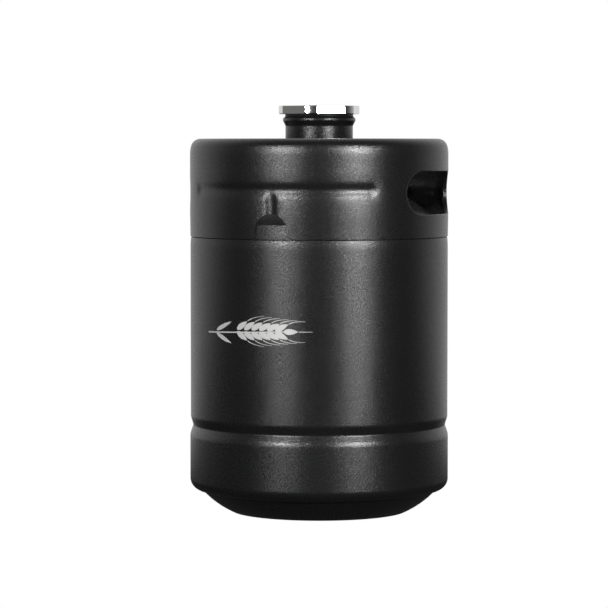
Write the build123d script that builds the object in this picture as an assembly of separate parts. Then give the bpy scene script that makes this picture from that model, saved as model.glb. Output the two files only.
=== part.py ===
from build123d import *

import math
import os

# A double-walled mini keg with a screw-in lid, in millimetres, +Z up.
# The origin is the centre of the circle that the foot ring stands on.
# The handholds face +X and -X, the T-shaped grooves -Y and +Y.

# ---- Driving dimensions ------------------------------------------------------

# Outer wall
BODY_RADIUS = 84.0
SEAM_HEIGHT = 179.65         # foot to the line where the collar meets the shell
SHELL_WALL = 0.8
BAND_SWELL = 0.35            # how far the lower band stands out from the wall
CORNER_RADIUS = 7.2
GROOVE_HEIGHT = 56.7         # foot to the bottom of the ring groove
GROOVE_DEPTH = 1.7
GROOVE_HALF_WIDTH = 5.6
GROOVE_EDGE_RADIUS = 8.0
GROOVE_ROOT_RADIUS = 2.0

# Joggled rim that the collar fits over
SEAM_GAP = 0.7
JOGGLE_EDGE_RADIUS = 0.9
JOGGLE_ROOT_RADIUS = 0.3
RIM_HEIGHT = 9.25            # seam to the top of the joggled rim

# Foot
FOOT_INSET = 27.0            # wall to the outer edge of the foot ring
FOOT_RING_WIDTH = 2.0
FOOT_RECESS = 5.0
FOOT_RECESS_SLOPE = 6.0
FOOT_EDGE_RADIUS = 2.0
BOWL_RADIUS = 60.0
BOWL_START_ANGLE = 24.3
BOWL_END_ANGLE = 47.8
CAP_WALL = 0.8
CAP_SPIGOT_HEIGHT = 4.0

# Top dome
DOME_RADIUS = 114.0
DOME_EDGE_RISE = 5.85        # seam to the dome's sphere, where it meets the rim
DOME_KNUCKLE_RADIUS = 5.0
DOME_SKIRT_HEIGHT = 6.5

# Collar
COLLAR_HEIGHT = 63.65
COLLAR_WALL = 1.0
COLLAR_FLARE = 0.25
COLLAR_FLARE_HEIGHT = 14.0
ROLL_SHOULDER_RADIUS = 20.0    # the gentle arc where the wall turns into the rim
ROLL_SHOULDER_ANGLE = 15.0
ROLL_OUTER_RADIUS = 6.5
ROLL_INNER_RADIUS = 2.6
ROLL_LIP_DEPTH = 8.0
HANDHOLD_WIDTH = 77.8
HANDHOLD_HEIGHT = 27.8
HANDHOLD_RISE = 29.05        # seam to the handhold's middle
HANDHOLD_LIP_DEPTH = 2.7
HANDHOLD_EDGE_RADIUS = 0.7
TEE_RISE = 31.15             # seam to the middle of the level groove
TEE_HALF_ANGLE = 47.4
TEE_DEPTH = 1.2
TEE_TOOL_RADIUS = 9.0
NOTCH_HALF_WIDTH = 10.7
NOTCH_HEIGHT = 16.45

# Inner vessel
VACUUM_GAP = 3.8
INNER_WALL = 0.7
INNER_CORNER_RADIUS = 14.0
INNER_BOTTOM_LIFT = 7.2      # outer bottom plate to the inner can
INNER_DOME_GAP = 4.2
INNER_DOME_KNUCKLE = 6.0
INNER_LAP = 7.0              # how far the inner dome's skirt goes into the can
INNER_CAN_MARGIN = 1.0

# Outer bottom plate, with what it carries
PLATE_CLEARANCE = 1.9
PLATE_CORNER_RADIUS = 5.0
PLATE_RIM_HEIGHT = 8.0
PORT_RADIUS = 1.5
SEAL_RADIUS = 5.0
SEAL_THICKNESS = 1.2
GETTER_RADIUS = 6.0
GETTER_HEIGHT = 3.0
GETTER_OFFSET = 30.0
CLIP_STRIP = 0.4
CLIP_WIDTH = 4.0
CLIP_FOOT_LENGTH = 4.0

# Neck
NECK_RADIUS = 22.0
NECK_RISE = 39.64            # dome to the neck's top, at the neck's wall
NECK_WALL = 1.8
NECK_BELOW_DOME = 1.0
BEAD_OUT = 1.7
BEAD_FOOT = 6.3              # neck top down to where the bead begins
BEAD_LOW = 3.0
BEAD_HIGH = 1.6
BEAD_TOP = 0.4
LIP_OUT = 0.4
LINER_DEPTH_BELOW_DOME = 3.6

# Thread
THREAD_PITCH = 3.0
LINER_WALL = 1.35            # neck liner behind the root of its thread
THREAD_HEIGHT = 1.6
THREAD_CREST_WIDTH = 0.7
THREAD_ROOT_WIDTH = 1.7
THREAD_CLEARANCE = 0.2
NECK_THREAD_TOP = 3.0        # neck top down to the first thread
NECK_THREAD_LENGTH = 12.0
LID_THREAD_LENGTH = 10.5
THREAD_EMBED = 0.3

# Lid
FLANGE_OVERHANG = 4.6        # flange beyond the neck's wall
FLAT_DEPTH = 1.8             # how far the six flats cut into the flange
FLANGE_THICKNESS = 5.5
FLANGE_EDGE = 0.6
FLAT_TURN = 9.3
PLUG_DEPTH = 19.2
GASKET_THICKNESS = 1.2
GASKET_OVERHANG = 0.2
GASKET_CLEARANCE = 0.3
VENT_RADIUS = 1.5
VENT_COUNTERSINK = 1.0

# Relief valve inside the lid's plug
CHAMBER_RADIUS = 9.0
CHAMBER_DEPTH = 15.0
SEAT_HEIGHT = 5.0
SEAT_BORE_RADIUS = 3.0
SEAT_SLOT_WIDTH = 2.0
SEAT_SLOT_DEPTH = 1.5
POPPET_RADIUS = 6.0
POPPET_THICKNESS = 2.2
POPPET_STEM_RADIUS = 2.0
POPPET_STEM_HEIGHT = 4.6
POPPET_SEAL_CIRCLE = 4.4
POPPET_SEAL_SECTION = 0.8
POPPET_LIFT_GAP = 0.3        # seat face to poppet face, closed
SPRING_COIL_RADIUS = 3.6
SPRING_WIRE_RADIUS = 0.4
SPRING_TURNS = 4.5
WASHER_THICKNESS = 0.6
WASHER_RADIUS = 6.0

FIT = 0.05                   # clearance between pieces that are fixed together

# ---- Places worked out from them ---------------------------------------------

band_radius = BODY_RADIUS + BAND_SWELL
rim_radius = BODY_RADIUS - COLLAR_WALL
rim_inner_radius = rim_radius - SHELL_WALL
rim_top = SEAM_HEIGHT + RIM_HEIGHT
shell_top = SEAM_HEIGHT - SEAM_GAP / 2

foot_outer_radius = BODY_RADIUS - FOOT_INSET
bowl_start = math.radians(BOWL_START_ANGLE)
bowl_end = math.radians(BOWL_END_ANGLE)
bowl_middle = (bowl_start + bowl_end) / 2
bowl_centre_radius = foot_outer_radius - BOWL_RADIUS * math.sin(bowl_start)
bowl_centre_height = BOWL_RADIUS * math.cos(bowl_start)
spigot_radius = bowl_centre_radius + BOWL_RADIUS * math.sin(bowl_end)
shell_bottom = bowl_centre_height - BOWL_RADIUS * math.cos(bowl_end)

dome_edge_radius = rim_inner_radius - FIT
dome_centre = (SEAM_HEIGHT + DOME_EDGE_RISE
               - math.sqrt(DOME_RADIUS ** 2 - rim_inner_radius ** 2))


def sphere_height(sphere_radius, radius):
    """The height of a dome's face at a radius from the axis."""
    return dome_centre + math.sqrt(sphere_radius ** 2 - radius ** 2)


neck_bottom = sphere_height(DOME_RADIUS, NECK_RADIUS) - SHELL_WALL - NECK_BELOW_DOME
neck_top = sphere_height(DOME_RADIUS, NECK_RADIUS) + NECK_RISE

inner_dome_radius = DOME_RADIUS - SHELL_WALL - INNER_DOME_GAP
can_radius = BODY_RADIUS - SHELL_WALL - VACUUM_GAP
inner_skirt_radius = can_radius - INNER_WALL - FIT
inner_knuckle_height = sphere_height(
    inner_dome_radius - INNER_DOME_KNUCKLE, inner_skirt_radius - INNER_DOME_KNUCKLE)
can_top = inner_knuckle_height - INNER_CAN_MARGIN

plate_bottom = shell_bottom + CAP_SPIGOT_HEIGHT + PLATE_CLEARANCE
plate_top = plate_bottom + SHELL_WALL
can_bottom = plate_top + INNER_BOTTOM_LIFT

liner_radius = NECK_RADIUS - NECK_WALL - FIT
liner_bottom = sphere_height(inner_dome_radius, liner_radius) - LINER_DEPTH_BELOW_DOME
thread_root_radius = liner_radius - LINER_WALL
thread_crest_radius = thread_root_radius - THREAD_HEIGHT

flange_bottom = neck_top + GASKET_THICKNESS
flange_top = flange_bottom + FLANGE_THICKNESS
flange_radius = NECK_RADIUS + FLANGE_OVERHANG
plug_radius = thread_crest_radius - THREAD_CLEARANCE
plug_bottom = flange_bottom - PLUG_DEPTH
chamber_top = plug_bottom + CHAMBER_DEPTH
seat_top = plug_bottom + SEAT_HEIGHT
poppet_bottom = seat_top + POPPET_LIFT_GAP
poppet_top = poppet_bottom + POPPET_THICKNESS
washer_bottom = chamber_top - WASHER_THICKNESS

tee_height = SEAM_HEIGHT + TEE_RISE
notch_top = SEAM_HEIGHT + NOTCH_HEIGHT
collar_radius = BODY_RADIUS + COLLAR_FLARE
rim_roll_top = SEAM_HEIGHT + COLLAR_HEIGHT


# ---- Ways of making a piece ---------------------------------------------------

def pressed_sheet(edges, wall):
    """A sheet turned about the axis, whose outer face is the line of edges."""
    outer_face = Wire(edges)
    section = Face(outer_face.offset_2d(wall, side=Side.LEFT, closed=True))
    return revolve(Plane.XZ * section, Axis.Z)


def turned(corners, radii=0):
    """A piece turned about the axis; its section has these (radius, height) corners."""
    outline = FilletPolyline(*corners, radius=radii, close=True)
    return revolve(Plane.XZ * make_face(outline.edges()), Axis.Z)


def tube(outer_radius, inner_radius, bottom, top):
    """A plain ring or tube between two heights."""
    return turned([(inner_radius, bottom), (outer_radius, bottom),
                   (outer_radius, top), (inner_radius, top)])


def rod(radius, bottom, top, x=0.0):
    """A plain round bar between two heights."""
    return Pos(x, 0, bottom) * Cylinder(
        radius, top - bottom, align=(Align.CENTER, Align.CENTER, Align.MIN))


def thread_ridge(root_radius, crest_radius, bottom, length):
    """A right-hand helical ridge, its foot sunk a little into the wall it stands on."""
    outward = 1 if crest_radius > root_radius else -1
    foot_radius = root_radius - outward * THREAD_EMBED
    slope = (THREAD_ROOT_WIDTH - THREAD_CREST_WIDTH) / 2 / abs(crest_radius - root_radius)
    foot_half = THREAD_ROOT_WIDTH / 2 + slope * THREAD_EMBED
    crest_half = THREAD_CREST_WIDTH / 2
    section = make_face(Polyline(
        (foot_radius, -foot_half), (crest_radius, -crest_half),
        (crest_radius, crest_half), (foot_radius, foot_half), close=True))
    path = Helix(THREAD_PITCH, length, (root_radius + crest_radius) / 2)
    return Pos(0, 0, bottom) * sweep(Plane.XZ * section, path=path, is_frenet=True)


# ---- Outer wall -----------------------------------------------------------------

def make_outer_shell():
    """The wall: lip under the corner, lower band, ring groove, wall, joggled rim."""
    groove_low = GROOVE_HEIGHT - GROOVE_HALF_WIDTH
    groove_high = GROOVE_HEIGHT + GROOVE_HALF_WIDTH
    joggle_top = shell_top + SEAM_GAP
    line = FilletPolyline(
        (spigot_radius + FIT, shell_bottom),
        (band_radius, shell_bottom),
        (band_radius, groove_low),
        (BODY_RADIUS - GROOVE_DEPTH, GROOVE_HEIGHT),
        (BODY_RADIUS, groove_high),
        (BODY_RADIUS, shell_top),
        (rim_radius - FIT, joggle_top),
        (rim_radius - FIT, rim_top),
        radius=[CORNER_RADIUS, GROOVE_EDGE_RADIUS, GROOVE_ROOT_RADIUS,
                GROOVE_EDGE_RADIUS, JOGGLE_EDGE_RADIUS, JOGGLE_ROOT_RADIUS])
    return pressed_sheet(line.edges(), SHELL_WALL)


def dome_sheet(sphere_radius, knuckle_radius, skirt_radius, skirt_height, hole_radius, wall):
    """A domed end with a rounded knuckle, an upright skirt and a hole in the middle."""
    knuckle_at = skirt_radius - knuckle_radius
    knuckle_height = sphere_height(sphere_radius - knuckle_radius, knuckle_at)
    share = sphere_radius / (sphere_radius - knuckle_radius)
    join = (knuckle_at * share, dome_centre + (knuckle_height - dome_centre) * share)
    edge_radius = hole_radius * sphere_radius / (sphere_radius - wall)
    hole_edge = (edge_radius, sphere_height(sphere_radius, edge_radius))
    half_turn = (math.asin(join[0] / sphere_radius)
                 + math.asin(edge_radius / sphere_radius)) / 2
    sphere_middle = (sphere_radius * math.sin(half_turn),
                     dome_centre + sphere_radius * math.cos(half_turn))
    lean = math.asin(join[0] / sphere_radius)
    knuckle_turn = (math.pi / 2 + lean) / 2
    knuckle_middle = (knuckle_at + knuckle_radius * math.sin(knuckle_turn),
                      knuckle_height + knuckle_radius * math.cos(knuckle_turn))
    skirt_top = (skirt_radius, knuckle_height)
    edges = [
        Line((skirt_radius, knuckle_height - skirt_height), skirt_top).edge(),
        ThreePointArc(skirt_top, knuckle_middle, join).edge(),
        ThreePointArc(join, sphere_middle, hole_edge).edge(),
    ]
    return pressed_sheet(edges, wall)


def make_outer_dome():
    """The outer top, which the neck stands in."""
    return dome_sheet(DOME_RADIUS, DOME_KNUCKLE_RADIUS, dome_edge_radius,
                      DOME_SKIRT_HEIGHT, NECK_RADIUS + FIT, SHELL_WALL)


def make_base_cap():
    """The foot: recessed middle, foot ring, bowl, and a spigot inside the shell's lip."""
    ring_inner_radius = foot_outer_radius - FOOT_RING_WIDTH
    floor_line = FilletPolyline(
        (0, FOOT_RECESS),
        (ring_inner_radius - FOOT_RECESS_SLOPE, FOOT_RECESS),
        (ring_inner_radius, 0),
        (foot_outer_radius, 0),
        radius=[FOOT_EDGE_RADIUS, FOOT_EDGE_RADIUS])
    bowl_middle_point = (bowl_centre_radius + BOWL_RADIUS * math.sin(bowl_middle),
                         bowl_centre_height - BOWL_RADIUS * math.cos(bowl_middle))
    bowl = ThreePointArc((foot_outer_radius, 0), bowl_middle_point,
                         (spigot_radius, shell_bottom))
    spigot = Line((spigot_radius, shell_bottom),
                  (spigot_radius, shell_bottom + CAP_SPIGOT_HEIGHT))
    return pressed_sheet([*floor_line.edges(), bowl.edge(), spigot.edge()], CAP_WALL)


# ---- Collar -----------------------------------------------------------------------

def tee_groove_tools(tool_radius, circle_radius):
    """What presses the grooves: the level bar, its two round ends, and the upright."""
    end_length = math.sqrt(TEE_TOOL_RADIUS ** 2 - (TEE_TOOL_RADIUS - TEE_DEPTH) ** 2)
    half_angle = TEE_HALF_ANGLE - math.degrees(end_length / collar_radius)
    notch_middle = notch_top - NOTCH_HALF_WIDTH
    profile = Plane.XZ * Pos(circle_radius, tee_height) * Circle(tool_radius)
    level = revolve(profile, Axis.Z, revolution_arc=2 * half_angle)
    end = Pos(circle_radius, 0, tee_height) * Sphere(tool_radius)
    return [
        Rot(0, 0, -90 - half_angle) * level,
        Rot(0, 0, -90 - half_angle) * end,
        Rot(0, 0, -90 + half_angle) * end,
        Rot(0, 0, -90) * rod(tool_radius, notch_middle, tee_height, circle_radius),
    ]


def handhold_outline(grow):
    """The long hole with round ends, as a flat face that looks along X."""
    at = SEAM_HEIGHT + HANDHOLD_RISE
    face = SlotOverall(HANDHOLD_WIDTH + 2 * grow, HANDHOLD_HEIGHT + 2 * grow)
    return Plane(origin=(0, 0, at), x_dir=(0, 1, 0), z_dir=(1, 0, 0)) * face


def make_collar():
    """The chime: flared wall, rolled rim, grooves, notches and flanged handholds."""
    collar_bottom = SEAM_HEIGHT + SEAM_GAP / 2
    lean = math.radians(ROLL_SHOULDER_ANGLE)
    roll_radius = (collar_radius - ROLL_SHOULDER_RADIUS * (1 - math.cos(lean))
                   - ROLL_OUTER_RADIUS * math.cos(lean))
    shoulder_height = (rim_roll_top - ROLL_OUTER_RADIUS * (1 - math.sin(lean))
                       - ROLL_SHOULDER_RADIUS * math.sin(lean))
    shoulder_centre = collar_radius - ROLL_SHOULDER_RADIUS
    outer_start = (collar_radius, shoulder_height)
    shoulder_middle = (shoulder_centre + ROLL_SHOULDER_RADIUS * math.cos(lean / 2),
                       shoulder_height + ROLL_SHOULDER_RADIUS * math.sin(lean / 2))
    roll_start = (shoulder_centre + ROLL_SHOULDER_RADIUS * math.cos(lean),
                  shoulder_height + ROLL_SHOULDER_RADIUS * math.sin(lean))
    roll_lean = (lean + math.pi / 2) / 2
    roll_middle = (roll_radius + ROLL_OUTER_RADIUS * math.cos(roll_lean),
                   rim_roll_top - ROLL_OUTER_RADIUS * (1 - math.sin(roll_lean)))
    crown = (roll_radius, rim_roll_top)
    inner_end = (roll_radius - ROLL_INNER_RADIUS, rim_roll_top - ROLL_INNER_RADIUS)
    half = math.sqrt(0.5)
    edges = [
        Line((BODY_RADIUS, collar_bottom),
             (collar_radius, collar_bottom + COLLAR_FLARE_HEIGHT)).edge(),
        Line((collar_radius, collar_bottom + COLLAR_FLARE_HEIGHT), outer_start).edge(),
        ThreePointArc(outer_start, shoulder_middle, roll_start).edge(),
        ThreePointArc(roll_start, roll_middle, crown).edge(),
        ThreePointArc(
            crown,
            (roll_radius - half * ROLL_INNER_RADIUS,
             rim_roll_top - (1 - half) * ROLL_INNER_RADIUS), inner_end).edge(),
        Line(inner_end, (inner_end[0], inner_end[1] - ROLL_LIP_DEPTH)).edge(),
    ]
    collar = pressed_sheet(edges, COLLAR_WALL)

    mid_wall = collar_radius - COLLAR_WALL / 2
    tool_circle = collar_radius - TEE_DEPTH + TEE_TOOL_RADIUS
    back_radius = TEE_TOOL_RADIUS + COLLAR_WALL
    ridge_zone = tube(mid_wall, collar_radius - TEE_DEPTH - 2 * COLLAR_WALL,
                      notch_top - NOTCH_HALF_WIDTH, tee_height + back_radius)
    ridges = [ridge_zone & tool for tool in tee_groove_tools(back_radius, tool_circle)]
    grooves = tee_groove_tools(TEE_TOOL_RADIUS, tool_circle)

    notch_middle = notch_top - NOTCH_HALF_WIDTH
    notch_depth = 2 * (COLLAR_WALL + TEE_DEPTH + TEE_TOOL_RADIUS)
    notch_hole = Pos(0, -BODY_RADIUS, notch_middle) * Rot(90, 0, 0) * Cylinder(
        NOTCH_HALF_WIDTH, notch_depth)
    notch_slot = Pos(0, -BODY_RADIUS, notch_middle) * Box(
        2 * NOTCH_HALF_WIDTH, notch_depth, 2 * NOTCH_HALF_WIDTH,
        align=(Align.CENTER, Align.CENTER, Align.MAX))
    for turn in (0, 180):
        for ridge in ridges:
            collar = collar + Rot(0, 0, turn) * ridge
        for cutter in [*grooves, notch_hole, notch_slot]:
            collar = collar - Rot(0, 0, turn) * cutter

    reach = 2 * BODY_RADIUS
    lip_zone = tube(mid_wall, collar_radius - HANDHOLD_LIP_DEPTH,
                    SEAM_HEIGHT, shoulder_height)
    lip_ring = extrude(handhold_outline(COLLAR_WALL), reach, both=True) & lip_zone
    collar = collar + lip_ring
    collar = collar - extrude(handhold_outline(0), reach, both=True)
    return collar


def with_rounded_handholds(collar):
    """Round the outer edge of each handhold."""
    at = SEAM_HEIGHT + HANDHOLD_RISE

    def on_outline(point):
        return (abs(math.hypot(point.X, point.Y) - collar_radius) < FIT
                and abs(point.Y) < HANDHOLD_WIDTH / 2 + FIT
                and abs(point.Z - at) < HANDHOLD_HEIGHT / 2 + FIT)

    edges = [edge for edge in collar.edges()
             if on_outline(edge.start_point()) and on_outline(edge.end_point())]
    return fillet(edges, min(HANDHOLD_EDGE_RADIUS, 0.7 * COLLAR_WALL))


# ---- Inner vessel -------------------------------------------------------------------

def make_outer_bottom_plate():
    """The plate that closes the vacuum space, with the pumping hole in its middle."""
    rim = band_radius - SHELL_WALL - FIT
    line = FilletPolyline((PORT_RADIUS, plate_bottom), (rim, plate_bottom),
                          (rim, plate_bottom + PLATE_RIM_HEIGHT),
                          radius=[PLATE_CORNER_RADIUS])
    return pressed_sheet(line.edges(), SHELL_WALL)


def make_vacuum_port_seal():
    """A flat button with a nub that fills the pumping hole."""
    nub_top = plate_top
    seal_bottom = plate_bottom - SEAL_THICKNESS
    return turned([(0, seal_bottom), (SEAL_RADIUS, seal_bottom), (SEAL_RADIUS, plate_bottom),
                   (PORT_RADIUS - FIT, plate_bottom), (PORT_RADIUS - FIT, nub_top),
                   (0, nub_top)])


def make_vacuum_getter():
    """A pellet in a shallow cup, on the plate."""
    return rod(GETTER_RADIUS, plate_top, plate_top + GETTER_HEIGHT, GETTER_OFFSET)


def make_getter_clip():
    """A strap over the getter with a foot at each end."""
    clip_top = plate_top + GETTER_HEIGHT
    inner_half = GETTER_RADIUS + FIT
    outer_half = inner_half + CLIP_STRIP
    foot_half = outer_half + CLIP_FOOT_LENGTH
    outline = Polyline(
        (-foot_half, plate_top), (-inner_half, plate_top), (-inner_half, clip_top),
        (inner_half, clip_top), (inner_half, plate_top), (foot_half, plate_top),
        (foot_half, plate_top + CLIP_STRIP), (outer_half, plate_top + CLIP_STRIP),
        (outer_half, clip_top + CLIP_STRIP), (-outer_half, clip_top + CLIP_STRIP),
        (-outer_half, plate_top + CLIP_STRIP), (-foot_half, plate_top + CLIP_STRIP),
        close=True)
    strap = extrude(Plane.XZ * make_face(outline), CLIP_WIDTH / 2, both=True)
    return Pos(GETTER_OFFSET, 0, 0) * strap


def make_inner_can():
    """The wall and bottom that hold the beer."""
    line = FilletPolyline((0, can_bottom), (can_radius, can_bottom), (can_radius, can_top),
                          radius=[INNER_CORNER_RADIUS])
    return pressed_sheet(line.edges(), INNER_WALL)


def make_inner_dome():
    """The inner top, whose skirt fits inside the can."""
    return dome_sheet(inner_dome_radius, INNER_DOME_KNUCKLE, inner_skirt_radius,
                      INNER_LAP + INNER_CAN_MARGIN, liner_radius + FIT, INNER_WALL)


# ---- Neck ---------------------------------------------------------------------------

def make_neck_sleeve():
    """The neck, with the bead that a tap's clamp holds on to."""
    bore = NECK_RADIUS - NECK_WALL
    corners = [
        (bore, neck_bottom), (NECK_RADIUS, neck_bottom),
        (NECK_RADIUS, neck_top - BEAD_FOOT),
        (NECK_RADIUS + BEAD_OUT, neck_top - BEAD_LOW),
        (NECK_RADIUS + BEAD_OUT, neck_top - BEAD_HIGH),
        (NECK_RADIUS + LIP_OUT, neck_top - BEAD_TOP),
        (NECK_RADIUS + LIP_OUT / 2, neck_top), (bore, neck_top)]
    return turned(corners, [0, 0, 2.0, 0.8, 0.5, 0.2, 0, 0])


def make_neck_liner():
    """The ring inside the neck, with the thread that the lid screws into."""
    ring = tube(liner_radius, thread_root_radius, liner_bottom, neck_top)
    thread_top = neck_top - NECK_THREAD_TOP
    ridge = thread_ridge(thread_root_radius, thread_crest_radius,
                         thread_top - NECK_THREAD_LENGTH, NECK_THREAD_LENGTH)
    return ring + ridge


# ---- Lid ----------------------------------------------------------------------------

def make_lid_gasket():
    """The flat ring between the neck and the lid's flange."""
    return turned([(plug_radius + GASKET_CLEARANCE, neck_top),
                   (NECK_RADIUS + GASKET_OVERHANG, neck_top),
                   (NECK_RADIUS + GASKET_OVERHANG, flange_bottom),
                   (plug_radius + GASKET_CLEARANCE, flange_bottom)],
                  [0, 0.3, 0.3, 0])


def make_lid_body():
    """The flange with six flats, the threaded plug, the valve chamber and the vent."""
    flange = turned([(0, flange_bottom), (flange_radius, flange_bottom),
                     (flange_radius, flange_top), (0, flange_top)],
                    [0, FLANGE_EDGE, FLANGE_EDGE, 0])
    hexagon = RegularPolygon(flange_radius - FLAT_DEPTH, 6, major_radius=False)
    flat_turn = FLAT_TURN - 30
    prism = Pos(0, 0, flange_bottom) * extrude(
        Rot(0, 0, flat_turn) * hexagon, FLANGE_THICKNESS)
    prism = chamfer(prism.edges().filter_by(GeomType.LINE).filter_by(Axis.Z, reverse=True),
                    FLANGE_EDGE / 2)
    lid = (flange & prism) + rod(plug_radius, plug_bottom, flange_bottom)
    crest_radius = thread_root_radius - THREAD_CLEARANCE
    thread_bottom = neck_top - NECK_THREAD_TOP - NECK_THREAD_LENGTH + THREAD_PITCH / 2
    lid = lid + thread_ridge(plug_radius, crest_radius, thread_bottom, LID_THREAD_LENGTH)
    lid = lid - rod(CHAMBER_RADIUS, plug_bottom, chamber_top)
    lid = lid - rod(VENT_RADIUS, chamber_top, flange_top)
    countersink = Pos(0, 0, flange_top) * Cone(
        VENT_RADIUS, VENT_RADIUS + VENT_COUNTERSINK, VENT_COUNTERSINK,
        align=(Align.CENTER, Align.CENTER, Align.MAX))
    return lid - countersink


def make_relief_seat():
    """The ring screwed into the bottom of the chamber, with a driver slot."""
    ring = tube(CHAMBER_RADIUS - FIT, SEAT_BORE_RADIUS, plug_bottom, seat_top)
    slot = Pos(0, 0, plug_bottom) * Box(
        2 * CHAMBER_RADIUS, SEAT_SLOT_WIDTH, SEAT_SLOT_DEPTH,
        align=(Align.CENTER, Align.CENTER, Align.MIN))
    return ring - slot


def make_relief_poppet():
    """The disc over the seat, with a groove for its seal and a stem for the spring."""
    body = turned([(0, poppet_bottom), (POPPET_RADIUS, poppet_bottom),
                   (POPPET_RADIUS, poppet_top), (POPPET_STEM_RADIUS, poppet_top),
                   (POPPET_STEM_RADIUS, poppet_top + POPPET_STEM_HEIGHT),
                   (0, poppet_top + POPPET_STEM_HEIGHT)])
    seal_half = POPPET_SEAL_SECTION + FIT
    groove = tube(POPPET_SEAL_CIRCLE + seal_half, POPPET_SEAL_CIRCLE - seal_half,
                  poppet_bottom, seat_top + 2 * POPPET_SEAL_SECTION + FIT)
    return body - groove


def make_relief_poppet_seal():
    """The round ring that closes on the seat."""
    middle = seat_top + POPPET_SEAL_SECTION
    section = Plane.XZ * Pos(POPPET_SEAL_CIRCLE, middle) * Circle(POPPET_SEAL_SECTION)
    return revolve(section, Axis.Z)


def make_relief_spring():
    """The coil spring between the poppet and the washer."""
    bottom = poppet_top + SPRING_WIRE_RADIUS + FIT
    top = washer_bottom - SPRING_WIRE_RADIUS - FIT
    path = Helix((top - bottom) / SPRING_TURNS, top - bottom, SPRING_COIL_RADIUS)
    wire = Plane.XZ * Pos(SPRING_COIL_RADIUS, 0) * Circle(SPRING_WIRE_RADIUS)
    return Pos(0, 0, bottom) * sweep(wire, path=path, is_frenet=True)


def make_relief_spring_washer():
    """The washer at the top of the chamber, open in the middle to the vent."""
    return tube(WASHER_RADIUS, VENT_RADIUS + VENT_COUNTERSINK, washer_bottom, chamber_top)


# ---- Every piece, by name -----------------------------------------------------------

def main():
    pieces = {
        "collar": with_rounded_handholds(make_collar()),
        "outer_shell": make_outer_shell(),
        "outer_dome": make_outer_dome(),
        "base_cap": make_base_cap(),
        "outer_bottom_plate": make_outer_bottom_plate(),
        "vacuum_port_seal": make_vacuum_port_seal(),
        "vacuum_getter": make_vacuum_getter(),
        "getter_clip": make_getter_clip(),
        "inner_can": make_inner_can(),
        "inner_dome": make_inner_dome(),
        "neck_sleeve": make_neck_sleeve(),
        "neck_liner": make_neck_liner(),
        "lid_gasket": make_lid_gasket(),
        "lid_body": make_lid_body(),
        "relief_seat": make_relief_seat(),
        "relief_poppet": make_relief_poppet(),
        "relief_poppet_seal": make_relief_poppet_seal(),
        "relief_spring": make_relief_spring(),
        "relief_spring_washer": make_relief_spring_washer(),
    }
    os.makedirs("parts", exist_ok=True)
    for name, shape in pieces.items():
        export_step(shape, f"parts/{name}.step")


main()
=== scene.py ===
"""The looks of a double-walled mini keg, built piece by piece round its fixed CAD frame."""

import math

import bmesh
import bpy
from bpy.props import FloatProperty, FloatVectorProperty, IntProperty, PointerProperty
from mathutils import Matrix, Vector


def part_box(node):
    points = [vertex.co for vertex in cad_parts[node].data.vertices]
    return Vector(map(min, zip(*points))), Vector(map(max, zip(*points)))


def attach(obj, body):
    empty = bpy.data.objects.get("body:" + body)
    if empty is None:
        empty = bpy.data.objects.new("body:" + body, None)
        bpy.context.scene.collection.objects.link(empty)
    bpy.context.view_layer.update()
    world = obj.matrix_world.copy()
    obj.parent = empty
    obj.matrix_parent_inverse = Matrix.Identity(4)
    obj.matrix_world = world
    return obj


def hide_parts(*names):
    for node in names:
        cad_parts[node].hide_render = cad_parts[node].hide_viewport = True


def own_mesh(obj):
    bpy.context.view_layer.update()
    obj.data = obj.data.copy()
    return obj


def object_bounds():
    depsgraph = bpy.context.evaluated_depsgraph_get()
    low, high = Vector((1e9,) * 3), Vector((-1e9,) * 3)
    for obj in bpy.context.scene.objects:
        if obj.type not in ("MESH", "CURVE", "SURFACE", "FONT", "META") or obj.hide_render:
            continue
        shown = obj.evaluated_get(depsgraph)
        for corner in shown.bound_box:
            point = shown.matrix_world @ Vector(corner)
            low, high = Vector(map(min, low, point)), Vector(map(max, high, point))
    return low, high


bl_info = {
    "name": "Mini Keg Builder",
    "version": (1, 0, 0),
    "blender": (4, 5, 0),
    "location": "3D View > Sidebar > Mini Keg",
    "description": "Builds a powder-coated mini keg with a screw-in lid",
    "category": "Add Mesh",
}

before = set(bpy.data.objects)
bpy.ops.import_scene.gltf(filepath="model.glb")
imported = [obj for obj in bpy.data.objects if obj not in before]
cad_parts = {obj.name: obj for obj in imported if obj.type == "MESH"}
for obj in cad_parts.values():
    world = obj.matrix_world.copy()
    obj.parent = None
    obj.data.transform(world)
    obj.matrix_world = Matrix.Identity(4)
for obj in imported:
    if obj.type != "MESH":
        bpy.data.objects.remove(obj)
CAD_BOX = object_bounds()

SHELL_LOW, SHELL_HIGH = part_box("outer_shell")
COLLAR_LOW, COLLAR_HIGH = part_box("collar")
CAP_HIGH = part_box("base_cap")[1]
DOME_LOW, DOME_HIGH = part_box("outer_dome")
NECK_LOW, NECK_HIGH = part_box("neck_sleeve")

MM = 0.001
QUARTER = math.pi / 2
CLOSE = MM / 1000            # points nearer than this are one point
SOFTBOX_TURN = math.radians(33.0)
SOFTBOX_REACH = 3.0
DONE = {"FINISHED"}          # what an operator gives back


# ---- Sizes and colours a user would change ---------------

def length(name, default_mm, description):
    """A length in the panel, given here in millimetres."""
    return FloatProperty(name=name, description=description, default=default_mm * MM,
                         min=0.0, subtype="DISTANCE", unit="LENGTH")


def angle(name, default_degrees, description):
    """An angle in the panel, given here in degrees."""
    return FloatProperty(name=name, description=description,
                         default=math.radians(default_degrees), subtype="ANGLE",
                         unit="ROTATION")


def colour(name, value, description):
    """A colour in the panel."""
    return FloatVectorProperty(name=name, description=description, default=value,
                               size=4, min=0.0, max=1.0, subtype="COLOR")


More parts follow.
